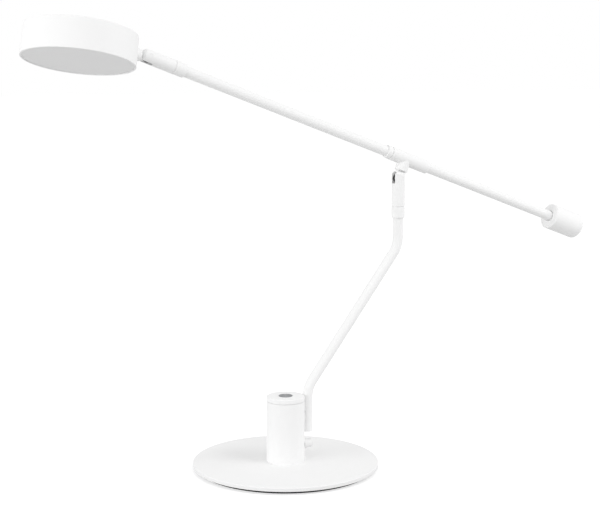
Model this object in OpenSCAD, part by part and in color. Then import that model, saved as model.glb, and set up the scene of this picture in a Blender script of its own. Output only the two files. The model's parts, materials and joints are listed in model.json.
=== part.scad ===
// Balance-arm LED desk lamp: weighted round base, control column, bent stem and a
// straight arm with a round light head at one end and a counterweight at the other.
// Millimetres. The origin is the centre of the base's underside, +Z is up, and the
// stem, the arm and the column share the XZ plane, with the head towards -X.

/* [Base] */
// Diameter of the round base
base_d = 180; // [150:1:240]
// Thickness of the weighted steel plate
plate_t = 3.8; // [3.4:0.1:8]
// Bevel round the plate's upper edge
plate_bevel = 0.6; // [0.2:0.1:1.2]
// Thickness of the non-slip pad under the plate
pad_t = 3.2; // [0.8:0.1:5]
// How far the pad's edge stays inside the plate's edge
pad_inset = 6; // [0:0.5:20]

/* [Column] */
// Outer diameter of the column
column_d = 37; // [34:0.5:60]
// Wall of the column tube
column_wall = 1.6; // [1.2:0.1:2.4]
// Height from the plate to the top of the cap
column_h = 64; // [61:0.1:90]
// Thickness of the cap that shows
cap_t = 4.5; // [3:0.1:6]
// Radius on the cap's upper edge
cap_edge_r = 0.9; // [0.3:0.1:1.5]
// Height of the shadow gap under the cap
cap_seam = 0.2; // [0.1:0.05:1]
// Length of the cap's spigot inside the tube
cap_spigot_h = 5; // [3:0.5:7]
// Wall of the cap's spigot
cap_spigot_wall = 2.4; // [1.5:0.1:4]
// Height of the screwed hub inside the column's foot
hub_h = 6; // [4:0.5:7]
// Pitch circle of the hub's screws
hub_pcd = 22; // [16:0.5:24]
// Number of hub screws
hub_screws = 3; // [3:1:6]
// Thread diameter of the hub screws
hub_screw_d = 4; // [3:0.5:5]
// Diameter of the screws' countersunk heads
hub_head_d = 7.6; // [6:0.2:9]
// Depth of the countersunk heads
hub_head_t = 2.2; // [1.6:0.1:2.8]

/* [Touch control] */
// Diameter of the turned touch button
touch_d = 13.5; // [10:0.5:18]
// Thickness of the button's disc
touch_t = 1.6; // [1.2:0.1:2.4]
// How far the button stands above the cap
touch_rise = 0.4; // [0.2:0.1:1.1]
// Diameter of the button's stalk
touch_stalk_d = 6; // [4:0.5:8]
// Length of the button's stalk below the disc
touch_stalk = 6; // [5:0.5:7]
// Width of the insulating rim round the button
bush_rim = 1; // [0.6:0.1:2]
// Flange of the insulating bush under the cap
bush_flange = 1.8; // [1:0.1:3]
// Thickness of that flange
bush_flange_t = 1.2; // [0.8:0.1:2]
// Width of the dimmer's circuit board
board_w = 24; // [20:0.5:26]
// Thickness of the dimmer's circuit board
board_t = 1.6; // [1:0.2:2]
// How far the circuit board stands behind the column's axis
board_back = 6; // [4:0.5:8]
// Free height between the board's upper edge and the cap's spigot
board_drop = 3; // [2:0.5:5]
// Height of the board's holder
holder_h = 6; // [4:0.5:8]
// Depth of the slot in the holder
holder_slot = 4; // [2:0.5:4.5]

/* [Cable gland] */
// Height of the gland's axis above the plate
gland_z = 14.1; // [13.5:0.1:17]
// Diameter of the gland's bore for the mains lead
gland_bore = 5.2; // [4:0.1:5.6]
// Diameter of the gland's threaded body
gland_body_d = 8; // [7.8:0.2:9]
// Wall of the threaded body
gland_inner_wall = 0.9; // [0.7:0.1:1]
// Diameter of the gland's flange
gland_flange_d = 11; // [10:0.5:12]
// How far the flange stands out of the column
gland_flange_t = 3; // [2:0.5:5]
// Diameter of the gland's nose
gland_nose_d = 8.6; // [8:0.2:9.6]
// How far the nose reaches out of the column
gland_reach = 9.5; // [7:0.5:14]
// Thickness of the seal between the gland and the column
gland_seal_t = 0.5; // [0.3:0.1:1]
// Thickness of the nut inside the column
gland_nut_t = 3; // [2:0.5:4]
// Width of that nut across its flats
gland_nut_af = 11; // [10:0.5:12]

/* [Stem] */
// Outer diameter of the stem tube
stem_d = 10; // [9:0.1:11]
// Wall of the stem tube
stem_wall = 1; // [0.8:0.05:1.2]
// Gap between the stem tube and the column
stem_gap = 0.3; // [0.1:0.1:1]
// Height of the stem's lower end above the plate
stem_foot = 26.3; // [24:0.1:27.5]
// Height of the lower bend's corner above the plate
stem_corner = 69.1; // [68:0.1:80]
// Distance from the upper bend's corner up to the lower pivot pin
pin_above_bend = 67.3; // [66:0.1:77]
// Sideways offset between the two upright runs
stem_offset = 101.7; // [80:0.1:110]
// Centreline radius of both bends
bend_r = 28; // [22:0.5:34]
// Height of the lower pivot pin above the plate
pivot_h = 270; // [242:0.1:320]
// Height of the hollow fixing above the plate
bush_h = 46.6; // [45:0.1:49]
// Outer diameter of the hollow fixing
bush_d = 6; // [5.5:0.1:7]
// Height of the lower fixing screw above the plate
foot_screw_h = 34.6; // [33:0.1:37]
// Thread diameter of the lower fixing screw
foot_screw_d = 4; // [3:0.5:5]
// Depth of the plug in the stem's lower end
end_plug = 4; // [2:0.5:5]

/* [Knuckles] */
// Outer diameter of both knuckles
knuckle_d = 12.9; // [12.4:0.1:15]
// Length of the fixed collar
collar_len = 10.8; // [8:0.1:16]
// Thickness of the collar's end above the tube
collar_web = 3; // [2:0.5:5]
// Height of the shadow gap between collar and fork
seam = 0.45; // [0.4:0.05:1]
// How far the swivel washer is set back from the surface
washer_inset = 0.5; // [0.3:0.1:1]
// Distance from the lower pivot pin to its fork's closed end
stem_fork_tail = 27.8; // [26:0.1:33]
// Distance from the head's pivot pin to its fork's closed end
head_fork_tail = 25.7; // [25:0.1:32]
// Radius of the fork's rounded ears about the pin
ear_r = 7.6; // [6.8:0.1:9]
// How far the ball that rounds off the ears' ends reaches past those ends
ear_ball = 0.3; // [0.1:0.1:4]
// Width of the fork's slot
slot_w = 6; // [5.8:0.1:7.4]
// Bevel on the edges of collars and forks
knuckle_bevel = 0.4; // [0.2:0.1:0.8]
// Diameter of the pivot pins
pin_d = 4; // [3:0.1:4.4]
// How far the pin's ends lie below the ears' faces
pin_recess = 0.1; // [0.05:0.05:0.6]
// Width of the tongue above the friction washers
tongue_w = 8.6; // [8:0.1:9.2]
// Thickness of the tongue's blade between the friction washers
blade_t = 2.4; // [1.6:0.1:3]
// Width of the blade's round end
blade_w = 7; // [6.6:0.1:8]
// Diameter of the friction washers
friction_d = 9.2; // [8.4:0.1:9.6]
// Gap between the washers and the slot's floor
tongue_gap = 0.3; // [0.3:0.1:0.6]
// Length of the tongue's round shank in its stub
shank_len = 5.8; // [5:0.1:8]
// Outer diameter of the tee's stub
stub_d = 12.9; // [11:0.1:13.3]
// Outer diameter of the head's stub
head_stub_d = 11; // [10.8:0.1:13.3]
// Gap between a stub's face and the fork's ears
stub_gap = 0.4; // [0.3:0.1:1]
// Length of the swivel post's journal inside the fork
journal_len = 13; // [11:0.5:14]
// Length of the swivel post inside the tube
post_root = 6; // [4:0.5:12]
// Distance from the fork's closed end to the retaining groove
groove_at = 7.5; // [6:0.1:8]
// Width of the retaining groove
groove_w = 2.4; // [2.2:0.1:3]
// Depth of the retaining groove
groove_depth = 0.9; // [0.7:0.1:1]
// Thread diameter of the retaining screw
grub_d = 3; // [2.5:0.1:3.5]
// Diameter of the retaining screw's tip
grub_tip_d = 1.9; // [1.5:0.1:2]

/* [Arm] */
// Outer diameter of the arm tube
arm_d = 10.3; // [9:0.1:11]
// Wall of the arm tube
arm_wall = 1.15; // [0.9:0.05:1.3]
// Distance from the lower pivot pin to the arm's axis
arm_drop = 20.5; // [20:0.1:28]
// Distance from the tee to the head's pivot pin
arm_front = 286.8; // [220:0.1:340]
// Distance from the tee to the arm's rear end
arm_rear = 217.2; // [200:0.1:260]
// Outer diameter of the tee's sleeve
tee_d = 13.4; // [13:0.1:16]
// Length of the sleeve towards the head
tee_front = 17.6; // [15:0.1:24]
// Length of the sleeve towards the counterweight
tee_rear = 27.5; // [18:0.1:34]
// Outer diameter of the lock ring
ring_d = 12.9; // [12.6:0.1:15]
// Length of the lock ring
ring_len = 5.2; // [4.8:0.1:8]
// Height of the shadow gap beside the lock ring
ring_seam = 0.35; // [0.2:0.05:1]
// Length of the sleeve's threaded spigot under the ring
spigot_len = 3; // [2:0.1:3.2]
// Wall of that spigot
spigot_wall = 0.6; // [0.5:0.1:0.8]
// Length of the clamping olive
olive_len = 1; // [0.8:0.1:1.2]

/* [Counterweight] */
// Diameter of the counterweight
weight_d = 26.6; // [22:0.1:34]
// Length of the counterweight
weight_len = 37.6; // [32:0.1:50]
// Radius on the counterweight's front edge
weight_front_r = 1.2; // [0.5:0.1:3]
// Radius on the counterweight's rear edge
weight_rear_r = 2.2; // [0.5:0.1:4]
// Clearance round the arm in the front recess
weight_recess_gap = 0.7; // [0.4:0.1:2.5]
// Depth of the front recess
weight_recess = 1.2; // [0.8:0.1:4]
// Solid length behind the arm's end
weight_web = 12; // [4:0.5:14]
// Thread diameter of the counterweight's set screw
weight_screw_d = 4; // [3:0.5:5]

/* [Head] */
// Diameter of the light head
head_d = 100.5; // [90:0.5:140]
// Height of the light head
head_h = 27.8; // [26:0.1:40]
// Side wall of the head
head_wall = 1.5; // [1:0.1:2.5]
// Top wall of the head
head_top_t = 1.8; // [1.2:0.1:3]
// Radius on the head's upper edge
head_edge_r = 1.5; // [0.5:0.1:3]
// Distance from the head's pivot pin to its rim
head_gap = 14.4; // [13:0.1:20]
// Height of the stub's axis above the middle of the head
stub_rise = 2.9; // [0:0.1:4]
// Length of the stub's spigot inside the head
stub_spigot = 7; // [6:0.1:8]
// Diameter of that spigot
stub_spigot_d = 9.6; // [9.4:0.1:10]
// Thickness of the nut inside the head
stub_nut_t = 3; // [2:0.1:4]
// Width of that nut across its flats
stub_nut_af = 13; // [12:0.5:14]
// Thickness of the opal diffuser
diffuser_t = 2.2; // [1.5:0.1:3]
// How far the diffuser lies inside the rim
diffuser_inset = 0.4; // [0.3:0.1:2]
// Height of the diffuser's upturned rim
diffuser_rim_h = 5; // [4.5:0.5:6]
// Thickness of the diffuser's upturned rim
diffuser_rim_t = 1.2; // [0.8:0.1:1.6]
// Space between the LED board's edge and the head's wall
led_margin = 6.8; // [6.5:0.1:10]
// Thickness of the LED board
led_board_t = 1.5; // [1:0.1:2]
// How far the LED board's underside lies below the stub's axis
led_board_drop = 5.8; // [4:0.1:7]
// Diameter of the LED board's bosses
boss_d = 6; // [5:0.5:7]
// Thread diameter of the board's screws
board_screw_d = 3; // [2.5:0.5:3]
// Number of the board's screws
board_screw_count = 3; // [3:1:6]
// How far the board's screws stay inside the board's edge
board_screw_inset = 9; // [9:0.5:12]
// Number of LEDs in the outer ring
led_outer = 24; // [12:1:30]
// Number of LEDs in the inner ring
led_inner = 12; // [6:1:14]
// Length of one LED
led_l = 3.5; // [2.8:0.1:4]
// Width of one LED
led_w = 2.8; // [2:0.1:3]
// Height of one LED
led_h = 0.7; // [0.5:0.1:1]

/* [Cables] */
// Diameter of the two-core cable inside the tubes
cable_d = 3.2; // [2.4:0.1:3.4]
// Clearance round the cable in holes made for it
cable_gap = 0.4; // [0.3:0.05:0.5]
// Bend radius of the cable where it turns into a tube
cable_turn = 4; // [3.6:0.1:4.2]

/* [Clearances] */
// Radial clearance of glued and screwed joints
snug = 0.05; // [0.02:0.01:0.08]
// Radial clearance of turning joints
run_gap = 0.05; // [0.03:0.01:0.08]
// Side clearance of the tongue between its washers
side_gap = 0.1; // [0.05:0.05:0.3]

/* [Pose] */
// Rise of the arm towards the head, from level
arm_tilt = 20.2; // [-20:0.1:48]
// Turn of the head's fork about the arm
head_turn = 10; // [-60:1:60]
// Tip of the head about its pin, from in line with the arm
head_tip = -9.7; // [-60:0.1:60]

/* [Hidden] */
$fn = 96;

// How far cutting and joining shapes pass the face between them
past = 1;
// Free space on the diameter round a screw in a plain hole
free_hole = 0.4;
// Space left at the end of a blind hole
end_gap = 0.2;
// Sizes of a screw's head and socket, as shares of its thread's diameter
cap_head_d = 1.8;
cap_head_t = 0.6;
socket_af = 0.6;
// Bevel on screw heads and on the turned button
small_bevel = 0.4;
// How far a threaded piece reaches past its nut
thread_over = 1;

// Heights of the base and column
plate_top = pad_t + plate_t;
column_top = plate_top + column_h;
cap_under = column_top - cap_t;
column_r = column_d / 2;
shell_r = column_r - column_wall;
hub_top = plate_top + hub_h;

// Stem
stem_x = column_r + stem_gap + stem_d / 2;
stem_base = plate_top + stem_foot;
corner_low = plate_top + stem_corner;
pivot_z = plate_top + pivot_h;
corner_high = pivot_z - pin_above_bend;
stem_lean = atan2(stem_offset, corner_high - corner_low);
stem_top_x = stem_x + stem_offset;
bend_cut = bend_r * tan(stem_lean / 2);
bush_z = plate_top + bush_h;
foot_screw_z = plate_top + foot_screw_h;
stem_bore = stem_d - 2 * stem_wall;
// The hair-thin bands over the joints between the stem's straight runs and its bends
band_t = 0.2;
band_rise = 0.02;
stem_inner_x = stem_x - stem_bore / 2;
stem_end_lip = 0.3;
arm_bore = arm_d - 2 * arm_wall;

// Knuckles, measured along their axis from the fork's closed end
collar_top = -seam;
collar_foot = collar_top - collar_len;
tube_end = collar_top - collar_web;
journal_room = 0.5;
stem_end = pivot_z - stem_fork_tail + tube_end;
arm_end = arm_front - head_fork_tail + tube_end;

// Knuckles, measured along their axis from the pivot pin
slot_floor = -(friction_d / 2 + tongue_gap);
cable_short = 0.4;
cable_stop = slot_floor - cable_short;
stub_face = ear_r + stub_gap;
shank_end = stub_face + shank_len;
tongue_side = 0.4;
tongue_t = slot_w - 2 * tongue_side;
friction_t = (slot_w - blade_t) / 2 - side_gap;
tongue_foot = friction_d / 2 + tongue_gap;
cable_hole = cable_d + 2 * cable_gap;
tongue_hole_z = stub_face - past;
tongue_cable_z = stub_face;
stem_post_d = stem_bore - 2 * snug;
arm_post_d = arm_bore - 2 * snug;
tee_spigot_d = arm_d + 2 * (snug + spigot_wall);

// Head
head_r = head_d / 2;
head_reach = head_gap + head_r;
head_bore_r = head_r - head_wall;
head_mid = head_h / 2 + stub_rise;
board_under = head_mid - led_board_drop;
board_over = board_under + led_board_t;
led_board_r = head_bore_r - led_margin;
boss_ring_r = led_board_r - board_screw_inset;
led_ring_inset = 4;
lead_terminal_inset = 7;
terminal_r = led_board_r - lead_terminal_inset;
stub_end = head_gap + stub_spigot;
screw_depth = 4;

// Touch button, dimmer board and the nuts inside the column
button_under = column_top + touch_rise - touch_t;
stalk_end = button_under - touch_stalk;
board_front = board_t / 2 - board_back;
board_top = cap_under - cap_spigot_h - board_drop;
board_foot = hub_top + holder_h - holder_slot;
terminal = [7, 10, 8];
bush_nut_t = 2.6;
bush_nut_af = 9;
bush_seat = seat(shell_r, bush_nut_af / 2 / cos(30));
gland_lip = 0.5;
seal_inset = 0.3;
gland_seat = seat(shell_r, gland_nut_af / 2 / cos(30));
nut_seat = head_reach - seat(head_bore_r, stub_nut_af / 2 / cos(30));

// ---------------------------------------------------------------- helpers

// Half chord: how far from its centre a flat part seats in a round wall
function seat(r, half_width) = sqrt(r * r - half_width * half_width);

// A turned solid from z0 to z1, with bevels b0 below and b1 above
module turned(d, z0, z1, b0 = 0, b1 = 0) {
    r = d / 2;
    rotate_extrude()
        polygon([[0, z0], [r - b0, z0], [r, z0 + b0], [r, z1 - b1], [r - b1, z1], [0, z1]]);
}

// A round solid of height h on z = 0, with rounded edges e0 below and e1 above
module rounded_disc(d, h, e0, e1) {
    r = d / 2;
    rotate_extrude() union() {
        translate([0, e0]) square([r, h - e0 - e1]);
        square([r - e0, h - e1]);
        square([r - max(e0, e1), h]);
        translate([0, h - e1]) square([r - e1, e1]);
        translate([r - e0, e0]) circle(r = e0);
        translate([r - e1, h - e1]) circle(r = e1);
    }
}

// A tube or a rod from z0 to z1
module ring(d, bore, z0, z1) {
    difference() {
        translate([0, 0, z0]) cylinder(d = d, h = z1 - z0);
        translate([0, 0, z0 - past]) cylinder(d = bore, h = z1 - z0 + 2 * past);
    }
}

module rod(d, z0, z1) {
    translate([0, 0, z0]) cylinder(d = d, h = z1 - z0);
}

// A hexagonal bar of the given width across flats
module hex_bar(across, z0, z1) {
    translate([0, 0, z0]) cylinder(d = across / cos(30), h = z1 - z0, $fn = 6);
}

// A bent rod that starts upwards at the origin and leans over to +X
module bend(d, radius, turn) {
    translate([radius, 0, 0]) rotate([90, 0, 0]) rotate([0, 0, 180 - turn])
        rotate_extrude(angle = turn) translate([radius, 0]) circle(d = d);
}

// Lays a part out along +X at a height
module along_x(z) {
    translate([0, 0, z]) rotate([0, 90, 0]) children();
}

// ---------------------------------------------------------------- frames

module at_stem_pin() {
    translate([stem_top_x, 0, pivot_z]) children();
}

// Z runs up the stem here, from the lower fork's closed end
module at_stem_seat() {
    at_stem_pin() translate([0, 0, -stem_fork_tail]) children();
}

module at_arm_tongue() {
    at_stem_pin() rotate([0, arm_tilt, 0]) children();
}

// The arm runs along X here, towards the head at -X
module at_tee() {
    at_arm_tongue() translate([0, 0, arm_drop]) children();
}

// Z runs along the arm towards the head, with the head's pin at the origin
module at_arm_end() {
    at_tee() translate([-arm_front, 0, 0]) rotate([0, -90, 0]) children();
}

module at_head_pin() {
    at_arm_end() rotate([0, 0, head_turn]) children();
}

// Z runs along the arm here, from the head fork's closed end
module at_arm_seat() {
    at_arm_end() translate([0, 0, -head_fork_tail]) children();
}

module at_head_tongue() {
    at_head_pin() rotate([0, head_tip, 0]) children();
}

// The middle of the drum's rim, with its axis upwards and the stub at +X
module at_drum() {
    at_head_tongue() translate([-stub_rise - head_h / 2, 0, head_reach]) rotate([0, 90, 0])
        children();
}

// ---------------------------------------------------------------- shared knuckle pieces

// The fixed collar on a tube's end
module collar_shape(tube_d, post_d) {
    difference() {
        turned(knuckle_d, collar_foot, collar_top, knuckle_bevel, knuckle_bevel);
        rod(tube_d + 2 * snug, collar_foot - past, tube_end);
        rod(post_d + 2 * snug, tube_end - past, collar_top + past);
    }
}

// The hollow post that the fork turns on
module post_shape(post_d) {
    difference() {
        rod(post_d, collar_foot - post_root, journal_len);
        rod(cable_hole, collar_foot - post_root - past, journal_len + past);
        ring(post_d + past, post_d - 2 * groove_depth, groove_at - groove_w / 2,
            groove_at + groove_w / 2);
    }
}

// The thin washer that shows as a seam
module swivel_washer_shape(post_d) {
    ring(knuckle_d - 2 * washer_inset, post_d + 2 * snug, collar_top, collar_top + seam - side_gap);
}

// The slotted fork with ball-ended ears, from its pin, with its closed end at -tail
module fork_shape(post_d, tail) {
    difference() {
        intersection() {
            turned(knuckle_d, -tail, ear_r, knuckle_bevel, 0);
            union() {
                intersection() {
                    translate([0, knuckle_d / 2, 0]) rotate([90, 0, 0]) cylinder(r = ear_r, h = knuckle_d);
                    sphere(r = ear_r + ear_ball);
                }
                translate([-knuckle_d / 2, -knuckle_d / 2, -tail]) cube([knuckle_d, knuckle_d, tail]);
            }
        }
        translate([-knuckle_d, -slot_w / 2, slot_floor])
            cube([2 * knuckle_d, slot_w, ear_r - slot_floor + past]);
        rod(post_d + 2 * run_gap, -tail - past, journal_len + journal_room - tail);
        rod(cable_hole, -tail, slot_floor + past);
        translate([0, knuckle_d, 0]) rotate([90, 0, 0]) cylinder(d = pin_d + 2 * snug, h = 2 * knuckle_d);
        translate([0, 0, groove_at - tail]) rotate([-90, 0, 0])
            cylinder(d = grub_d + 2 * snug, h = knuckle_d);
    }
}

// The screw whose tip runs in the post's groove
module grub_shape(post_d) {
    groove_r = post_d / 2 - groove_depth;
    shoulder = post_d / 2 + run_gap + end_gap;
    sink = 0.4;
    socket_depth = 1;
    outer = knuckle_d / 2 - sink;
    translate([0, 0, groove_at]) rotate([-90, 0, 0]) difference() {
        union() {
            rod(grub_tip_d, groove_r + end_gap, shoulder);
            rod(grub_d, shoulder, outer);
        }
        hex_bar(grub_d / 2, outer - socket_depth, outer + past);
    }
}

// The pin pressed through the ears, with its ends dressed to their round
module pin_shape() {
    intersection() {
        translate([0, knuckle_d / 2, 0]) rotate([90, 0, 0]) cylinder(d = pin_d, h = knuckle_d);
        rod(knuckle_d - 2 * pin_recess, -pin_d, pin_d);
    }
}

// The two friction washers that fill the slot beside the blade
module friction_washers_shape() {
    for (side = [-1, 1])
        translate([0, side * (slot_w - friction_t) / 2, 0]) rotate([90, 0, 0])
            ring(friction_d, pin_d + 2 * snug, -friction_t / 2, friction_t / 2);
}

// The tongue: a thin round-ended blade on the pin, a thicker root and a round shank
module tongue_shape() {
    difference() {
        union() {
            translate([0, blade_t / 2, 0]) rotate([90, 0, 0]) cylinder(d = blade_w, h = blade_t);
            translate([-blade_w / 2, -blade_t / 2, 0]) cube([blade_w, blade_t, stub_face]);
            translate([-tongue_w / 2, -tongue_t / 2, tongue_foot])
                cube([tongue_w, tongue_t, stub_face - tongue_foot]);
            rod(tongue_w, stub_face, shank_end);
        }
        translate([0, blade_t, 0]) rotate([90, 0, 0])
            cylinder(d = pin_d + 2 * run_gap, h = 2 * blade_t);
        rod(cable_hole, tongue_hole_z, shank_end + past);
    }
}

// ---------------------------------------------------------------- base

module base_pad() {
    color("dimgray") rod(base_d - 2 * pad_inset, 0, pad_t);
}

// Places one child on each hub screw's axis
module at_hub_screws() {
    for (i = [0 : hub_screws - 1])
        rotate([0, 0, 180 + i * 360 / hub_screws]) translate([hub_pcd / 2, 0, 0]) children();
}

module base_plate() {
    color("white") difference() {
        turned(base_d, pad_t, plate_top, plate_bevel / 2, plate_bevel);
        at_hub_screws() {
            rod(hub_screw_d + free_hole, pad_t - past, plate_top + past);
            translate([0, 0, pad_t - snug])
                cylinder(d1 = hub_head_d + free_hole, d2 = hub_screw_d + free_hole,
                    h = hub_head_t + 2 * snug);
        }
    }
}

module column_hub() {
    hub_bevel = 0.5;
    color("silver") difference() {
        turned(2 * (shell_r - snug), plate_top, hub_top, 0, hub_bevel);
        at_hub_screws() rod(hub_screw_d + 2 * snug, plate_top - past, hub_top + past);
    }
}

module column_screws() {
    end_below_hub = 0.5;
    socket_share = 0.7;
    color("silver") at_hub_screws() difference() {
        union() {
            translate([0, 0, pad_t])
                cylinder(d1 = hub_head_d, d2 = hub_screw_d, h = hub_head_t);
            rod(hub_screw_d, pad_t + hub_head_t, hub_top - end_below_hub);
        }
        hex_bar(hub_screw_d * socket_af, pad_t - past, pad_t + hub_head_t * socket_share);
    }
}

module column_shell() {
    color("white") difference() {
        ring(column_d, 2 * shell_r, plate_top, cap_under - cap_seam);
        along_x(bush_z) rod(bush_d + 2 * snug, 0, column_d);
        along_x(foot_screw_z) rod(foot_screw_d + 2 * snug, 0, column_d);
        along_x(plate_top + gland_z) rod(gland_body_d + 2 * snug, 0, column_d);
    }
}

module column_cap() {
    bush_hole = touch_d + 2 * (bush_rim + snug);
    spigot_d = 2 * (shell_r - snug);
    spigot_bore = spigot_d - 2 * cap_spigot_wall;
    lower_edge_r = 0.2;
    color("white") difference() {
        union() {
            translate([0, 0, cap_under]) rounded_disc(column_d, cap_t, lower_edge_r, cap_edge_r);
            ring(spigot_d, spigot_bore, cap_under - cap_spigot_h, cap_under + past);
        }
        rod(bush_hole, cap_under - past, column_top + past);
    }
}

// ---------------------------------------------------------------- touch control

module touch_bush() {
    bush_r = touch_d / 2 + bush_rim;
    color("white") difference() {
        union() {
            rod(2 * bush_r, cap_under - bush_flange_t, column_top);
            rod(2 * (bush_r + bush_flange), cap_under - bush_flange_t, cap_under);
        }
        rod(touch_d + 2 * snug, button_under, column_top + past);
        rod(touch_stalk_d + 2 * snug, cap_under - bush_flange_t - past, column_top);
    }
}

module touch_button() {
    color("darkgray") union() {
        turned(touch_d, button_under, column_top + touch_rise, 0, small_bevel);
        rod(touch_stalk_d, button_under - touch_stalk, button_under);
    }
}

// A brass leaf that carries the touch signal from the stalk to the board
module touch_spring() {
    leaf_t = 0.4;
    leaf_w = 4;
    leg_y = 6;
    root_depth = 8;
    root = board_top - root_depth;
    color("goldenrod") {
        translate([board_front, leg_y, root]) cube([leaf_t, leaf_w, stalk_end - root]);
        translate([board_front, -leaf_w / 2, stalk_end - leaf_t])
            cube([touch_stalk_d / 2 - board_front, leg_y + leaf_w + leaf_w / 2, leaf_t]);
    }
}

module dimmer_board() {
    color("green") translate([board_front - board_t, -board_w / 2, board_foot])
        cube([board_t, board_w, board_top - board_foot]);
}

// Two terminals, a chip, a choke and a capacitor on the board's front
module board_parts() {
    edge = 1;
    chip = [1.6, 6, 5];
    chip_edge = 3;
    chip_rise = 4;
    choke_d = 8;
    choke_h = 7;
    choke_drop = 14;
    capacitor_d = 6;
    capacitor_h = 9;
    capacitor_drop = 12;
    mains_z = plate_top + gland_z;
    color("dimgray") translate([board_front, 0, 0]) {
        translate([0, -terminal[1] / 2, bush_z - terminal[2] / 2]) cube(terminal);
        translate([0, board_w / 2 - terminal[1] - edge, mains_z]) cube(terminal);
        translate([0, -board_w / 2 + chip_edge, mains_z + chip_rise]) cube(chip);
        translate([0, 0.75 * choke_d, 0]) along_x(bush_z - choke_drop) rod(choke_d, 0, choke_h);
        translate([0, -capacitor_d, 0]) along_x(bush_z - capacitor_drop)
            rod(capacitor_d, 0, capacitor_h);
    }
}

module board_holder() {
    grip = 3;
    holder_room = 0.3;
    screw_room = 0.5;
    color("black") difference() {
        intersection() {
            translate([board_front - board_t - grip, -shell_r, hub_top])
                cube([board_t + 2 * grip, 2 * shell_r, holder_h]);
            rod(2 * (shell_r - holder_room), hub_top - past, column_top);
        }
        translate([board_front - board_t - snug, -board_w / 2 - snug, board_foot])
            cube([board_t + 2 * snug, board_w + 2 * snug, holder_h]);
        at_hub_screws() rod(hub_screw_d + free_hole, hub_top - past, hub_top + screw_room);
    }
}

// ---------------------------------------------------------------- cable gland

module cable_gland() {
    nose_bevel = 0.6;
    color("white") difference() {
        along_x(plate_top + gland_z) difference() {
            union() {
                rod(gland_body_d, gland_seat - gland_nut_t - thread_over, column_r + past);
                rod(gland_flange_d, shell_r, column_r + gland_flange_t);
                turned(gland_nose_d, column_r, column_r + gland_reach, 0, nose_bevel);
            }
            rod(gland_bore, column_r, column_d + gland_reach);
            rod(gland_body_d - 2 * gland_inner_wall, 0, column_r + gland_lip);
            difference() {
                rod(column_d, 0, column_r);
                rod(gland_body_d, -past, column_r + past);
            }
        }
        difference() {
            rod(column_d + 2 * (gland_seal_t + snug), 0, column_top);
            along_x(plate_top + gland_z) rod(gland_body_d, 0, column_d);
        }
    }
}

// The rubber seal that follows the column's round under the gland's flange
module gland_seal() {
    color("black") intersection() {
        along_x(plate_top + gland_z)
            ring(gland_flange_d - 2 * seal_inset, gland_body_d + 2 * snug, 0, column_d);
        ring(column_d + 2 * gland_seal_t, column_d + 2 * snug, plate_top, column_top);
    }
}

module gland_nut() {
    color("gainsboro") along_x(plate_top + gland_z) difference() {
        hex_bar(gland_nut_af, gland_seat - gland_nut_t, gland_seat);
        rod(gland_body_d + 2 * snug, 0, column_r);
    }
}

// ---------------------------------------------------------------- stem

// A straight run, with the hair-thin bands that join it to the bends at its ends
module straight_run(d, z0, z1, band0, band1) {
    rod(d, z0 + band0 * band_t / 4, z1 - band1 * band_t / 4);
    for (z = [z0, z1])
        if ((z == z0 ? band0 : band1) > 0) rod(d + 2 * band_rise, z - band_t / 2, z + band_t / 2);
}

// A rod along the stem's route, from z_low to z_high
module stem_route(d, z_low, z_high) {
    slope = (corner_high - corner_low) / cos(stem_lean);
    translate([stem_x, 0, 0]) straight_run(d, z_low, corner_low - bend_cut, 0, 1);
    translate([stem_x, 0, corner_low - bend_cut]) bend(d, bend_r, stem_lean);
    translate([stem_x, 0, corner_low]) rotate([0, stem_lean, 0])
        straight_run(d, bend_cut, slope - bend_cut, 1, 1);
    translate([stem_top_x, 0, corner_high + bend_cut]) rotate([0, 0, 180]) mirror([0, 0, 1])
        bend(d, bend_r, stem_lean);
    translate([stem_top_x, 0, 0]) straight_run(d, corner_high + bend_cut, z_high, 1, 0);
}

module stem_tube() {
    color("white") difference() {
        stem_route(stem_d, stem_base, stem_end);
        stem_route(stem_bore, stem_base - past, stem_end + past);
        along_x(bush_z) rod(bush_d + 2 * snug, 0, stem_x);
        along_x(foot_screw_z) rod(foot_screw_d + 2 * snug, 0, stem_x);
    }
}

module stem_end_plug() {
    color("white") translate([stem_x, 0, 0])
        rod(stem_bore - 2 * snug, stem_base, stem_base + end_plug);
}

module stem_bush() {
    color("silver") along_x(bush_z)
        ring(bush_d, cable_hole, bush_seat - bush_nut_t - thread_over, stem_inner_x + stem_end_lip);
}

module stem_bush_nut() {
    color("silver") along_x(bush_z) difference() {
        hex_bar(bush_nut_af, bush_seat - bush_nut_t, bush_seat);
        rod(bush_d + 2 * snug, 0, column_r);
    }
}

module stem_foot_screw() {
    head_d = foot_screw_d * cap_head_d;
    head_t = foot_screw_d * cap_head_t;
    head_seat = seat(shell_r, head_d / 2);
    socket_share = 0.7;
    color("silver") along_x(foot_screw_z) difference() {
        union() {
            turned(head_d, head_seat - head_t, head_seat, small_bevel, 0);
            rod(foot_screw_d, head_seat - past, stem_inner_x + stem_end_lip);
        }
        translate([0, 0, head_seat - head_t])
            hex_bar(foot_screw_d * socket_af, -past, head_t * socket_share);
    }
}

// The cable from the board's terminal through the hollow fixing and up the stem
module stem_cable() {
    turn_z = bush_z + cable_turn;
    terminal_face = board_front + terminal[0];
    color("black") {
        along_x(bush_z) straight_run(cable_d, terminal_face, stem_x - cable_turn, 0, 1);
        translate([stem_x - cable_turn, 0, bush_z]) rotate([0, 90, 0]) rotate([0, 0, 180])
            bend(cable_d, cable_turn, 90);
        translate([stem_x, 0, 0]) straight_run(cable_d, turn_z, turn_z + past, 1, 0);
        stem_route(cable_d, turn_z + past / 2, pivot_z + cable_stop);
    }
}

module stem_collar() {
    color("white") at_stem_seat() collar_shape(stem_d, stem_post_d);
}

module stem_post() {
    color("silver") at_stem_seat() post_shape(stem_post_d);
}

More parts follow.
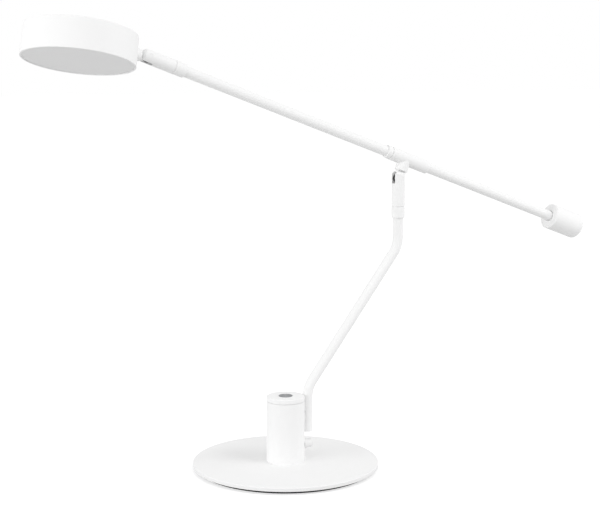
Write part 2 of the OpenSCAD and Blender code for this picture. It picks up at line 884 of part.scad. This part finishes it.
module stem_washer() {
    color("white") at_stem_seat() swivel_washer_shape(stem_post_d);
}

// ---------------------------------------------------------------- lower fork

module stem_fork() {
    color("white") at_stem_pin() fork_shape(stem_post_d, stem_fork_tail);
}

module stem_grub_screw() {
    color("silver") at_stem_seat() grub_shape(stem_post_d);
}

module stem_pivot_pin() {
    color("white") at_stem_pin() pin_shape();
}

module stem_friction_washers() {
    color("black") at_stem_pin() friction_washers_shape();
}

// ---------------------------------------------------------------- arm

module arm_tongue() {
    color("white") at_arm_tongue() tongue_shape();
}

// Lays a turned part along the arm; positive lengths run towards the head
module on_arm() {
    at_tee() rotate([0, -90, 0]) children();
}

module tee_sleeve() {
    color("white") difference() {
        union() {
            on_arm() turned(tee_d, -tee_rear, tee_front, knuckle_bevel, knuckle_bevel);
            on_arm() rod(tee_spigot_d, tee_front - past, tee_front + spigot_len);
            at_arm_tongue() rod(stub_d, stub_face, arm_drop);
        }
        on_arm() rod(arm_d + 2 * snug, -tee_rear - past, tee_front + spigot_len + past);
        at_arm_tongue() rod(tongue_w + 2 * snug, stub_face - past, shank_end + end_gap);
        at_arm_tongue() rod(cable_hole, stub_face, arm_drop);
    }
}

module lock_ring() {
    foot = tee_front + ring_seam;
    pocket = tee_front + spigot_len + olive_len + 4 * snug;
    color("white") on_arm() difference() {
        turned(ring_d, foot, foot + ring_len, knuckle_bevel, knuckle_bevel);
        rod(tee_spigot_d + 2 * snug, foot - past, pocket);
        rod(arm_d + 4 * snug, foot - past, foot + ring_len + past);
    }
}

module lock_olive() {
    start = tee_front + spigot_len + snug;
    color("goldenrod") on_arm() ring(tee_spigot_d, arm_d + 2 * snug, start, start + olive_len);
}

module arm_tube() {
    color("white") difference() {
        on_arm() ring(arm_d, arm_bore, -arm_rear, arm_end);
        at_arm_tongue() rod(cable_hole, shank_end, arm_drop);
    }
}

// The cable from the tongue up into the arm and along to the head's knuckle
module arm_cable() {
    color("black") {
        at_arm_tongue() rod(cable_d, tongue_cable_z, arm_drop - cable_turn);
        at_arm_tongue() translate([0, 0, arm_drop - cable_turn]) rotate([0, 0, 180])
            bend(cable_d, cable_turn, 90);
        on_arm() rod(cable_d, cable_turn, arm_front + cable_stop);
    }
}

module counterweight() {
    recess_d = arm_d + 2 * weight_recess_gap;
    rear = -arm_rear - weight_web;
    front = rear + weight_len;
    color("white") on_arm() difference() {
        translate([0, 0, rear]) rounded_disc(weight_d, weight_len, weight_rear_r, weight_front_r);
        rod(arm_d + 2 * snug, -arm_rear, front + past);
        rod(recess_d, front - weight_recess, front + past);
        translate([0, 0, rear + weight_len / 2]) rotate([-90, 0, 0])
            rod(weight_screw_d + 2 * snug, 0, weight_d);
    }
}

module counterweight_screw() {
    middle = weight_len / 2 - arm_rear - weight_web;
    sink = 1;
    socket_depth = 2;
    outer = weight_d / 2 - sink;
    color("silver") on_arm() translate([0, 0, middle]) rotate([-90, 0, 0]) difference() {
        rod(weight_screw_d, arm_d / 2 + snug, outer);
        hex_bar(weight_screw_d / 2, outer - socket_depth, outer + past);
    }
}

module arm_collar() {
    color("white") at_arm_seat() collar_shape(arm_d, arm_post_d);
}

module arm_post() {
    color("silver") at_arm_seat() post_shape(arm_post_d);
}

module arm_washer() {
    color("white") at_arm_seat() swivel_washer_shape(arm_post_d);
}

// ---------------------------------------------------------------- head fork

module head_fork() {
    color("white") at_head_pin() fork_shape(arm_post_d, head_fork_tail);
}

module head_grub_screw() {
    color("silver") at_arm_seat() rotate([0, 0, head_turn]) grub_shape(arm_post_d);
}

module head_pivot_pin() {
    color("white") at_head_pin() pin_shape();
}

module head_friction_washers() {
    color("black") at_head_pin() friction_washers_shape();
}

// ---------------------------------------------------------------- head

module head_tongue() {
    color("white") at_head_tongue() tongue_shape();
}

// The head's side wall as a solid, to shape what seats against it
module drum_body(extra) {
    at_drum() rod(head_d + 2 * extra, -past, head_h + past);
}

module head_stub() {
    wall_reach = 3;
    color("white") difference() {
        union() {
            difference() {
                at_head_tongue() rod(head_stub_d, stub_face, head_gap + wall_reach);
                drum_body(snug);
            }
            at_head_tongue() rod(stub_spigot_d, stub_face + past, stub_end);
        }
        at_head_tongue() rod(tongue_w + 2 * snug, stub_face - past, shank_end + end_gap);
        at_head_tongue() rod(cable_hole, stub_face, stub_end + past);
    }
}

module stub_nut() {
    color("silver") at_head_tongue() difference() {
        hex_bar(stub_nut_af, nut_seat, nut_seat + stub_nut_t);
        rod(stub_spigot_d + 2 * snug, nut_seat - past, nut_seat + stub_nut_t + past);
    }
}

// Places one child on each LED board screw's axis
module at_board_screws() {
    for (i = [0 : board_screw_count - 1])
        rotate([0, 0, (i + 0.5) * 360 / board_screw_count])
            translate([boss_ring_r, 0, 0]) children();
}

module head_shell() {
    top_under = head_h - head_top_t;
    rim_edge_r = 0.3;
    color("white") difference() {
        union() {
            at_drum() difference() {
                rounded_disc(head_d, head_h, rim_edge_r, head_edge_r);
                rod(2 * head_bore_r, -past, top_under);
            }
            at_drum() at_board_screws() rod(boss_d, board_over, top_under + past / 2);
        }
        at_drum() at_board_screws()
            rod(board_screw_d + 2 * snug, board_over - past, board_over + screw_depth + past);
        at_head_tongue() rod(stub_spigot_d + 2 * snug, head_gap - past, stub_end);
    }
}

module led_board() {
    color("whitesmoke") at_drum() difference() {
        rod(2 * led_board_r, board_under, board_over);
        at_board_screws() rod(board_screw_d + free_hole, board_under - past, board_over + past);
    }
}

module led_ring(count, radius, lift) {
    for (i = [0 : count - 1])
        rotate([0, 0, (i + 0.5) * 360 / count])
            translate([radius - led_w / 2, -led_l / 2, lift]) cube([led_w, led_l, led_h]);
}

module led_chips() {
    color("gold") at_drum() {
        led_ring(led_outer, led_board_r - led_ring_inset, board_under - led_h);
        led_ring(led_inner, led_board_r / 2, board_under - led_h);
    }
}

module board_screws() {
    screw_head_d = board_screw_d * cap_head_d;
    screw_head_t = board_screw_d * cap_head_t;
    socket_floor = 0.6;
    color("silver") at_drum() at_board_screws() difference() {
        union() {
            turned(screw_head_d, board_under - screw_head_t, board_under, small_bevel, 0);
            rod(board_screw_d, board_under - past / 2, board_over + screw_depth);
        }
        translate([0, 0, board_under - screw_head_t])
            hex_bar(board_screw_d * socket_af, -past, screw_head_t - socket_floor);
    }
}

module diffuser() {
    rim_d = 2 * (head_bore_r - snug);
    color("gainsboro") at_drum() union() {
        rod(rim_d, diffuser_inset, diffuser_inset + diffuser_t);
        ring(rim_d, rim_d - 2 * diffuser_rim_t, diffuser_inset, diffuser_inset + diffuser_rim_h);
    }
}

// The terminal on the back of the LED board, in line with the stub
module lead_terminal() {
    above_lead = 3;
    size = [8, 9, led_board_drop - led_board_t + above_lead];
    color("white") at_drum() translate([terminal_r - size[0], -size[1] / 2, board_over]) cube(size);
}

// The lead from the tongue through the stub to that terminal
module head_cable() {
    color("black") at_head_tongue() rod(cable_d, tongue_cable_z, head_reach - terminal_r);
}

// ---------------------------------------------------------------- output

base_pad();
base_plate();
column_hub();
column_screws();
column_shell();
column_cap();
touch_bush();
touch_button();
touch_spring();
dimmer_board();
board_parts();
board_holder();
cable_gland();
gland_seal();
gland_nut();
stem_tube();
stem_end_plug();
stem_bush();
stem_bush_nut();
stem_foot_screw();
stem_cable();
stem_collar();
stem_post();
stem_washer();
stem_fork();
stem_grub_screw();
stem_pivot_pin();
stem_friction_washers();
arm_tongue();
tee_sleeve();
lock_ring();
lock_olive();
arm_tube();
arm_cable();
counterweight();
counterweight_screw();
arm_collar();
arm_post();
arm_washer();
head_fork();
head_grub_screw();
head_pivot_pin();
head_friction_washers();
head_tongue();
head_stub();
stub_nut();
head_shell();
led_board();
led_chips();
board_screws();
lead_terminal();
diffuser();
head_cable();
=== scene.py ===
# %% [markdown]
# # A balance-arm desk lamp
# The lamp is a round weighted base, a column with a touch button, a bent stem and a straight
# arm that carries a flat round light head at one end and a counterweight at the other. The
# solids were drawn in CAD, so this script keeps them where they are and gives them finishes.
# Everything is in metres, and the bottom of the base is at height zero.

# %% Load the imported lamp
import json
import math

import bpy
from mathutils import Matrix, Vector

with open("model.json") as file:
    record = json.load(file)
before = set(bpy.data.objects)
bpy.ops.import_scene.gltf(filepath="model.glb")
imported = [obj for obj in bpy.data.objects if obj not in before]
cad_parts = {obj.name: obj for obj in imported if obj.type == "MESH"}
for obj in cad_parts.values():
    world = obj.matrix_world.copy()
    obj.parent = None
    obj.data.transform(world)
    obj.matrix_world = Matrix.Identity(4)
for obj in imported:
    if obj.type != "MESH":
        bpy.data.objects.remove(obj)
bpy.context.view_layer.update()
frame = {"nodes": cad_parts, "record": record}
print("nodes loaded:", len(frame["nodes"]))

# %% [markdown]
# ## Small helpers
# Paint makers and designers give colours as sRGB hex codes, but the renderer adds light in a
# linear scale. One function turns a code into linear values. A second one adds a shader node
# with its settings, its socket values and its links, so that each finish below reads like a
# recipe. Patterns are sized in millimetres, and a third turns that into repeats per metre. A
# wave pattern counts in its own unit, a twentieth of a radian, so it has a function too.

# %% Colour, node and scale helpers
def linear(code):
    """The linear colour of an sRGB hex code."""
    shades = [int(code[i:i + 2], 16) / 255 for i in (0, 2, 4)]
    return [s / 12.92 if s <= 0.04045 else ((s + 0.055) / 1.055) ** 2.4 for s in shades] + [1.0]


def add_node(tree, kind, sockets=None, **settings):
    """A new shader node. sockets gives each input a value, or the output that feeds it."""
    node = tree.nodes.new("ShaderNode" + kind)
    for name, value in settings.items():
        setattr(node, name, value)
    for key, value in (sockets or {}).items():
        if isinstance(value, bpy.types.NodeSocket):
            tree.links.new(value, node.inputs[key])
        else:
            node.inputs[key].default_value = value
    return node


def per_metre(millimetres):
    """How many times a pattern of this size repeats in a metre."""
    return 1000 / millimetres


def wave_scale(millimetres):
    """The Scale that gives a wave pattern this spacing."""
    return math.tau / 20 * per_metre(millimetres)


# %% [markdown]
# ## Starting and closing a finish
# Every finish is one principled shader. Patterns are laid out in the solid's own coordinates, so
# that they stay on a piece when it moves. Values that are the same all over a piece, such as the
# IOR, are set on the shader's own sockets, beside the links that bring the patterns in. A Mix
# node numbers its colours instead of naming them, so the three numbers get names here.

# %% Finish helpers
ONE, OTHER = 6, 7
MIXED = 2


def start_finish(name):
    """An empty material, its node tree, and the place that its patterns are laid out by."""
    finish = bpy.data.materials.new(name)
    finish.use_nodes = True
    tree = finish.node_tree
    tree.nodes.clear()
    return finish, tree, add_node(tree, "TexCoord").outputs["Object"]


def close_finish(tree, sockets):
    """Make one principled shader with these values and links the whole surface."""
    shader = add_node(tree, "BsdfPrincipled", sockets)
    add_node(tree, "OutputMaterial", {"Surface": shader.outputs["BSDF"]})


finishes = {}

# %% [markdown]
# ## Matt white powder coat
# The steel and aluminium pieces are sprayed with dry polyester powder and baked at about
# 180 degrees. The powder melts into an even film with a very slight orange peel: shallow waves
# about 2 mm across, with a finer grain on top. It could be painted as one flat white, but then
# the long tubes would look like plastic toys. Two noise patterns at the real sizes bend the
# surface by a few thousandths of a millimetre, and a broad cloud shifts the white slightly
# where the film is thicker. The hollows of the waves are a little glossier than the crests.

# %% The powder coat
POWDER_WHITE = "F1F1F1"
POWDER_THICK = "EEEEEE"
PEEL_MM = 2.2
PEEL_ON_ALUMINIUM = 0.8
PEEL_DEPTH_M = 0.000012
POWDER_GRAIN_MM = 0.5
POWDER_GRAIN_DEPTH_M = 0.000004
CLOUD_MM = 55
POWDER_SMOOTHEST = 0.58
POWDER_ROUGHEST = 0.70


def powder_coat(name, peel_mm):
    """White polyester powder: matt, with orange peel and a fine grain."""
    finish, tree, place = start_finish(name)
    cloud = add_node(tree, "TexNoise", {"Vector": place, "Scale": per_metre(CLOUD_MM), "Detail": 2})
    white = add_node(tree, "Mix", {"Factor": cloud.outputs["Fac"], ONE: linear(POWDER_WHITE),
                                   OTHER: linear(POWDER_THICK)}, data_type="RGBA")
    peel = add_node(tree, "TexNoise", {"Vector": place, "Scale": per_metre(peel_mm), "Detail": 1})
    grain = add_node(tree, "TexNoise", {"Vector": place, "Scale": per_metre(POWDER_GRAIN_MM),
                                        "Detail": 2})
    sheen = add_node(tree, "MapRange", {"Value": peel.outputs["Fac"], "To Min": POWDER_SMOOTHEST,
                                        "To Max": POWDER_ROUGHEST})
    fine = add_node(tree, "Bump", {"Height": grain.outputs["Fac"],
                                   "Distance": POWDER_GRAIN_DEPTH_M})
    waves = add_node(tree, "Bump", {"Height": peel.outputs["Fac"], "Distance": PEEL_DEPTH_M,
                                    "Normal": fine.outputs["Normal"]})
    close_finish(tree, {"Base Color": white.outputs[MIXED], "Roughness": sheen.outputs["Result"],
                        "IOR": 1.5, "Normal": waves.outputs["Normal"]})
    return finish


finishes["white_powder_steel"] = powder_coat("powder_coat_on_steel", PEEL_MM)
finishes["white_powder_aluminium"] = powder_coat("powder_coat_on_aluminium",
                                                 PEEL_MM * PEEL_ON_ALUMINIUM)
print("powder coat: waves of", PEEL_MM, "mm on steel")

# %% [markdown]
# ## Moulded white polyamide
# The cable gland, its nut, the two swivel washers, the lead terminal, the bush round the button
# and the plug in the stem are injection moulded. The mould is spark eroded, which leaves a fine
# even grain of about 0.3 mm and a slightly duller white than the powder coat. The grain is drawn
# at 0.5 mm, coarser than it is, so that it still shows from a hand's distance.

# %% The moulded plastic
MOULDED_WHITE = "ECECEC"
MOULDED_PIT = "E6E6E6"
SPARK_GRAIN_MM = 0.5
SPARK_DEPTH_M = 0.00001

finish, tree, place = start_finish("moulded_polyamide")
spark = add_node(tree, "TexVoronoi", {"Vector": place, "Scale": per_metre(SPARK_GRAIN_MM)})
white = add_node(tree, "Mix", {"Factor": spark.outputs["Distance"], ONE: linear(MOULDED_WHITE),
                               OTHER: linear(MOULDED_PIT)}, data_type="RGBA")
pits = add_node(tree, "Bump", {"Height": spark.outputs["Distance"], "Distance": SPARK_DEPTH_M})
close_finish(tree, {"Base Color": white.outputs[MIXED], "Roughness": 0.5, "IOR": 1.53,
                    "Normal": pits.outputs["Normal"]})
finishes["white_plastic"] = finish
print("moulded plastic: grain of", SPARK_GRAIN_MM, "mm")

# %% [markdown]
# ## Turned aluminium
# The touch button is faced on a lathe. The tool leaves rings a few tenths of a millimetre
# apart, and because all the fine scratches run round the centre, a reflection is stretched
# along the radius, into a bow tie where a lamp stands over it. A radial tangent with high
# anisotropy gives that, and a ring wave gives the grooves.

# %% The turned button
TURNED_GREY = "8C8D8F"
TURNED_SMUDGE = "7C7E81"
SMUDGE_MM = 4
RING_PITCH_MM = 0.3
RING_DEPTH_M = 0.000005

finish, tree, place = start_finish("turned_aluminium")
rings = add_node(tree, "TexWave", {"Vector": place, "Scale": wave_scale(RING_PITCH_MM)},
                 wave_type="RINGS", rings_direction="Z")
grooves = add_node(tree, "Bump", {"Height": rings.outputs["Fac"], "Distance": RING_DEPTH_M})
smudge = add_node(tree, "TexNoise", {"Vector": place, "Scale": per_metre(SMUDGE_MM), "Detail": 3})
metal = add_node(tree, "Mix", {"Factor": smudge.outputs["Fac"], ONE: linear(TURNED_GREY),
                               OTHER: linear(TURNED_SMUDGE)}, data_type="RGBA")
around = add_node(tree, "Tangent", direction_type="RADIAL", axis="Z")
close_finish(tree, {"Base Color": metal.outputs[MIXED], "Metallic": 1.0, "Roughness": 0.32,
                    "Anisotropic": 0.8, "Tangent": around.outputs["Tangent"],
                    "Normal": grooves.outputs["Normal"]})
finishes["turned_aluminium"] = finish
print("turned button: rings", RING_PITCH_MM, "mm apart")

# %% [markdown]
# ## Bare steel and brass
# The column's hub, the hollow fixing, the posts, screws and nuts are plain zinc-plated steel, and
# the olive and the touch spring are brass. Both share one recipe: a metal whose tone wanders a
# little and whose surface has fine machining marks. Most of these pieces are inside the lamp,
# and a few screw heads show.

# %% The small metal pieces
STAIN_MM = 5
MARK_MM = 0.6
MARK_DEPTH_M = 0.000003
GLOSS_SWING = 0.06


def machined_metal(name, colour, stained, roughness):
    """Bare metal with fine machining marks and slightly uneven tone."""
    finish, tree, place = start_finish(name)
    stain = add_node(tree, "TexNoise", {"Vector": place, "Scale": per_metre(STAIN_MM), "Detail": 4})
    metal = add_node(tree, "Mix", {"Factor": stain.outputs["Fac"], ONE: linear(colour),
                                   OTHER: linear(stained)}, data_type="RGBA")
    marks = add_node(tree, "TexNoise", {"Vector": place, "Scale": per_metre(MARK_MM), "Detail": 3})
    dull = add_node(tree, "MapRange", {"Value": marks.outputs["Fac"],
                                       "To Min": roughness - GLOSS_SWING,
                                       "To Max": roughness + GLOSS_SWING})
    relief = add_node(tree, "Bump", {"Height": marks.outputs["Fac"], "Distance": MARK_DEPTH_M})
    close_finish(tree, {"Base Color": metal.outputs[MIXED], "Metallic": 1.0,
                        "Roughness": dull.outputs["Result"], "Normal": relief.outputs["Normal"]})
    return finish


finishes["bare_steel"] = machined_metal("zinc_plated_steel", "C4C5C6", "AEB0B3", roughness=0.3)
finishes["brass"] = machined_metal("brass", "D9B56C", "C39A52", roughness=0.28)
print("bare metal: marks of", MARK_MM, "mm")

# %% [markdown]
# ## Opal acrylic
# The light's lower face is a disc of opal acrylic, a clear plastic filled with tiny white
# particles that spread the light of the LEDs. Switched off, it looks like milk glass: light
# goes in a little way and comes back softened. Subsurface scattering with a reach of a few
# millimetres shows that, under a satin surface from the etched side of the sheet. The etching's
# grain is under a tenth of a millimetre, and it is drawn at 0.7 mm so that it shows.

# %% The diffuser
OPAL_WHITE = "DDDDDD"
OPAL_DEEP = "DADADA"
OPAL_REACH_M = 0.002
ETCH_MM = 0.7
ETCH_DEPTH_M = 0.000004

finish, tree, place = start_finish("opal_acrylic")
etch = add_node(tree, "TexNoise", {"Vector": place, "Scale": per_metre(ETCH_MM), "Detail": 2})
milk = add_node(tree, "Mix", {"Factor": etch.outputs["Fac"], ONE: linear(OPAL_WHITE),
                              OTHER: linear(OPAL_DEEP)}, data_type="RGBA")
satin = add_node(tree, "Bump", {"Height": etch.outputs["Fac"], "Distance": ETCH_DEPTH_M})
close_finish(tree, {"Base Color": milk.outputs[MIXED], "Roughness": 0.4, "IOR": 1.49,
                    "Subsurface Weight": 0.35, "Subsurface Scale": OPAL_REACH_M,
                    "Subsurface Radius": (1.0, 1.0, 1.0), "Normal": satin.outputs["Normal"]})
finishes["opal_acrylic"] = finish
print("opal acrylic: light reaches about", OPAL_REACH_M * 1000, "mm in")

# %% [markdown]
# ## Foam rubber, cable sheath and dark plastic
# The pad under the base and the gland's seal are closed-cell foam: a dark, very dull skin of
# cells about 0.8 mm across. The cable's sheath is smooth soft rubber. The friction washers in
# the joints, the board's holder and the parts on the board are black nylon. They differ in
# grain and in how dull they are.

# %% The dark soft finishes
def dark_polymer(name, colour, skin, cell_mm, depth_m, roughness):
    """A black rubber or plastic with cells or grain of a given size, and a lighter skin."""
    finish, tree, place = start_finish(name)
    cells = add_node(tree, "TexVoronoi", {"Vector": place, "Scale": per_metre(cell_mm)})
    dark = add_node(tree, "Mix", {"Factor": cells.outputs["Distance"], ONE: linear(colour),
                                  OTHER: linear(skin)}, data_type="RGBA")
    pores = add_node(tree, "Bump", {"Height": cells.outputs["Distance"], "Distance": depth_m})
    close_finish(tree, {"Base Color": dark.outputs[MIXED], "Roughness": roughness, "IOR": 1.5,
                        "Normal": pores.outputs["Normal"]})
    return finish


finishes["black_foam_rubber"] = dark_polymer(
    "closed_cell_foam", "121213", "202021", cell_mm=0.8, depth_m=0.00008, roughness=0.9)
finishes["cable_rubber"] = dark_polymer(
    "rubber_cable_sheath", "161617", "29292A", cell_mm=0.6, depth_m=0.000005, roughness=0.6)
finishes["dark_plastic"] = dark_polymer(
    "black_nylon", "0F0F10", "19191A", cell_mm=0.5, depth_m=0.000008, roughness=0.6)
print("dark finishes: foam, cable sheath and nylon")

# %% [markdown]
# ## Inside the column and the head
# The dimmer's board is glass fibre cloth in resin under a green solder mask, whose weave just
# shows through as a raised lattice. The LED board is aluminium with a sprayed white mask, and
# each LED is a drop of silicone full of yellow phosphor grains. They are out of sight in the
# closed lamp, but someone may take it apart. The weave and the grains are drawn coarser than
# they are, so that they show.

# %% The circuit board
WEAVE_MM = 1.2
WEAVE_DEPTH_M = 0.00001
MASK_GREEN = "145535"
THREAD_GREEN = "1C6B42"

finish, tree, place = start_finish("glass_fibre_board")
warp = add_node(tree, "TexWave", {"Vector": place, "Scale": wave_scale(WEAVE_MM)},
                bands_direction="Y")
weft = add_node(tree, "TexWave", {"Vector": place, "Scale": wave_scale(WEAVE_MM)},
                bands_direction="Z")
weave = add_node(tree, "Math", {0: warp.outputs["Fac"], 1: weft.outputs["Fac"]},
                 operation="MULTIPLY")
green = add_node(tree, "Mix", {"Factor": weave.outputs[0], ONE: linear(MASK_GREEN),
                               OTHER: linear(THREAD_GREEN)}, data_type="RGBA")
gloss = add_node(tree, "MapRange", {"Value": weave.outputs[0], "To Min": 0.4, "To Max": 0.28})
lattice = add_node(tree, "Bump", {"Height": weave.outputs[0], "Distance": WEAVE_DEPTH_M})
close_finish(tree, {"Base Color": green.outputs[MIXED], "Roughness": gloss.outputs["Result"],
                    "IOR": 1.55, "Normal": lattice.outputs["Normal"]})
finishes["circuit_board"] = finish
print("board weave:", WEAVE_MM, "mm")


# %% The LED board and the LEDs
def grained_coat(name, light, deep, grain_mm, depth_m, smooth, rough, ior):
    """A coat with a fine grain that changes its tone, its gloss and its relief together."""
    finish, tree, place = start_finish(name)
    grain = add_node(tree, "TexNoise", {"Vector": place, "Scale": per_metre(grain_mm), "Detail": 3})
    tone = add_node(tree, "Mix", {"Factor": grain.outputs["Fac"], ONE: linear(light),
                                  OTHER: linear(deep)}, data_type="RGBA")
    gloss = add_node(tree, "MapRange", {"Value": grain.outputs["Fac"], "To Min": smooth,
                                        "To Max": rough})
    relief = add_node(tree, "Bump", {"Height": grain.outputs["Fac"], "Distance": depth_m})
    close_finish(tree, {"Base Color": tone.outputs[MIXED], "Roughness": gloss.outputs["Result"],
                        "IOR": ior, "Normal": relief.outputs["Normal"]})
    return finish


finishes["led_board_aluminium"] = grained_coat(
    "white_solder_mask", "F0F0EC", "E9E9E4", grain_mm=0.9, depth_m=0.000005,
    smooth=0.35, rough=0.48, ior=1.5)
finishes["led_phosphor"] = grained_coat(
    "led_phosphor", "F2CF4A", "E3B93A", grain_mm=0.4, depth_m=0.000006,
    smooth=0.16, rough=0.3, ior=1.41)
print("finishes made:", len(finishes))

# %% [markdown]
# ## Dress the solids
# Each solid in the record names the material slot it takes its finish from. A dictionary from
# slot to finish means that a piece can never get a finish that the record doesn't state.

# %% Give every node its finish
slot_of = {part["node"]: part["material_slot"] for part in frame["record"]["subparts"]}
for node, solid in frame["nodes"].items():
    for holder in solid.material_slots:
        holder.material = finishes[slot_of[node]]
print("finishes used:", sorted(set(slot_of.values())))

# %% [markdown]
# ## Floor
# A product studio uses a white sweep: a floor that runs up into the background with no edge.
# Here the floor is a large matt plane. Its paint is a pale grey, which sends the right amount of
# light up under the lamp and takes the lamp's shadow. A white glow, which only the camera and
# reflections see, lifts it to white.

# %% The floor
FLOOR_GREY = "D3D3D3"
FLOOR_FIBRE = "D0D0D0"
FIBRE_MM = 8
FLOOR_GLOW = 0.54
FLOOR_SIZE = 30.0
FLOOR_DROP = 0.0002

bpy.ops.mesh.primitive_plane_add(size=FLOOR_SIZE, location=(0, 0, -FLOOR_DROP))
floor = bpy.context.object
floor.name = "studio_floor"
sweep, tree, place = start_finish("sweep_paper")
fibre = add_node(tree, "TexNoise", {"Vector": place, "Scale": per_metre(FIBRE_MM), "Detail": 3})
grey = add_node(tree, "Mix", {"Factor": fibre.outputs["Fac"], ONE: linear(FLOOR_GREY),
                              OTHER: linear(FLOOR_FIBRE)}, data_type="RGBA")
paint = add_node(tree, "BsdfPrincipled", {"Base Color": grey.outputs[MIXED], "Roughness": 0.9,
                                          "Specular IOR Level": 0.0})
path = add_node(tree, "LightPath")
seen = add_node(tree, "Math", {0: path.outputs["Is Camera Ray"], 1: path.outputs["Is Glossy Ray"]},
                operation="MAXIMUM")
lift = add_node(tree, "Math", {0: seen.outputs[0], 1: FLOOR_GLOW}, operation="MULTIPLY")
glow = add_node(tree, "Emission", {"Strength": lift.outputs[0]})
both = add_node(tree, "AddShader", {0: paint.outputs["BSDF"], 1: glow.outputs["Emission"]})
add_node(tree, "OutputMaterial", {"Surface": both.outputs["Shader"]})
floor.data.materials.append(sweep)
print("floor:", FLOOR_SIZE, "m across,", FLOOR_DROP * 1000, "mm under the pad")

# %% [markdown]
# ## Background
# The world is the studio's white walls. The camera, reflections and clear materials see it at
# strength 1, which is white. It lights the lamp at a lower strength, so that the softboxes
# still have something to add and the white paint keeps its shades.

# %% The world
SKY_FILL = 0.77

world = bpy.data.worlds.new("white_studio")
bpy.context.scene.world = world
world.use_nodes = True
tree = world.node_tree
tree.nodes.clear()
path = add_node(tree, "LightPath")
direct = add_node(tree, "Math", {0: path.outputs["Is Camera Ray"],
                                 1: path.outputs["Is Transmission Ray"]}, operation="MAXIMUM")
seen = add_node(tree, "Math", {0: direct.outputs[0], 1: path.outputs["Is Glossy Ray"]},
                operation="MAXIMUM")
level = add_node(tree, "MapRange", {"Value": seen.outputs[0], "To Min": SKY_FILL, "To Max": 1.0})
sky = add_node(tree, "Background", {"Color": (1, 1, 1, 1), "Strength": level.outputs["Result"]})
add_node(tree, "OutputWorld", {"Surface": sky.outputs["Background"]})
print("world: strength", SKY_FILL, "on the lamp, 1 where it is seen")

# %% [markdown]
# ## Lights
# White objects on white need light that wraps round them, with just enough difference between
# the sides to show that a tube is round. A low softbox at the left side brightens the left of
# every tube, a high one in front on the right throws the column's soft shadow on the base, three
# broad weak ones open the front, and the white world fills the rest.

# %% The softboxes
LIT_POINT = (0, 0, 0.2)
SMALL_BOX = 0.8
BROAD_BOX = 1.2


def softbox(name, place, width, power):
    """A square area lamp, so many metres wide and watts strong, that faces the lit point."""
    data = bpy.data.lights.new(name, "AREA")
    data.size = width
    data.energy = power
    lamp = bpy.data.objects.new(name, data)
    lamp.location = place
    towards = Vector(LIT_POINT) - Vector(place)
    lamp.rotation_euler = towards.to_track_quat("-Z", "Y").to_euler()
    bpy.context.scene.collection.objects.link(lamp)
    print("softbox", name, "at", place, "of", power, "W")


softbox("low_left", (-2.1, 0.0, 0.5), SMALL_BOX, power=11.6)
softbox("front_left", (-1.9, -0.9, 1.2), BROAD_BOX, power=4.0)
softbox("high_right", (0.9, -1.2, 1.7), SMALL_BOX, power=9.2)
softbox("low_front", (-0.6, -2.2, 0.7), BROAD_BOX, power=2.8)
softbox("low_right", (1.9, -1.2, 0.7), BROAD_BOX, power=7.0)

# %% [markdown]
# ## Camera
# A longish lens keeps the far end of the arm from shrinking, and a place a little above the base
# lets the base's top and the head's lower face both show as discs. The lens here is 82 mm on a
# 36 mm sensor.

# %% The camera
VIEW_PLACE = (-0.5870, -1.1544, 0.3895)
VIEW_TURN = -27.57
VIEW_DROP = 8.0
LENS_MM = 82.26
SENSOR_MM = 36

eye = bpy.data.cameras.new("camera")
eye.lens = LENS_MM
eye.sensor_width = SENSOR_MM
eye.sensor_fit = "HORIZONTAL"
camera = bpy.data.objects.new("camera", eye)
camera.location = VIEW_PLACE
camera.rotation_euler = (math.radians(90 - VIEW_DROP), 0, math.radians(VIEW_TURN))
bpy.context.scene.collection.objects.link(camera)
bpy.context.scene.camera = camera
bpy.context.scene.view_settings.view_transform = "Standard"
print("camera:", LENS_MM, "mm lens, looking down", VIEW_DROP, "degrees")
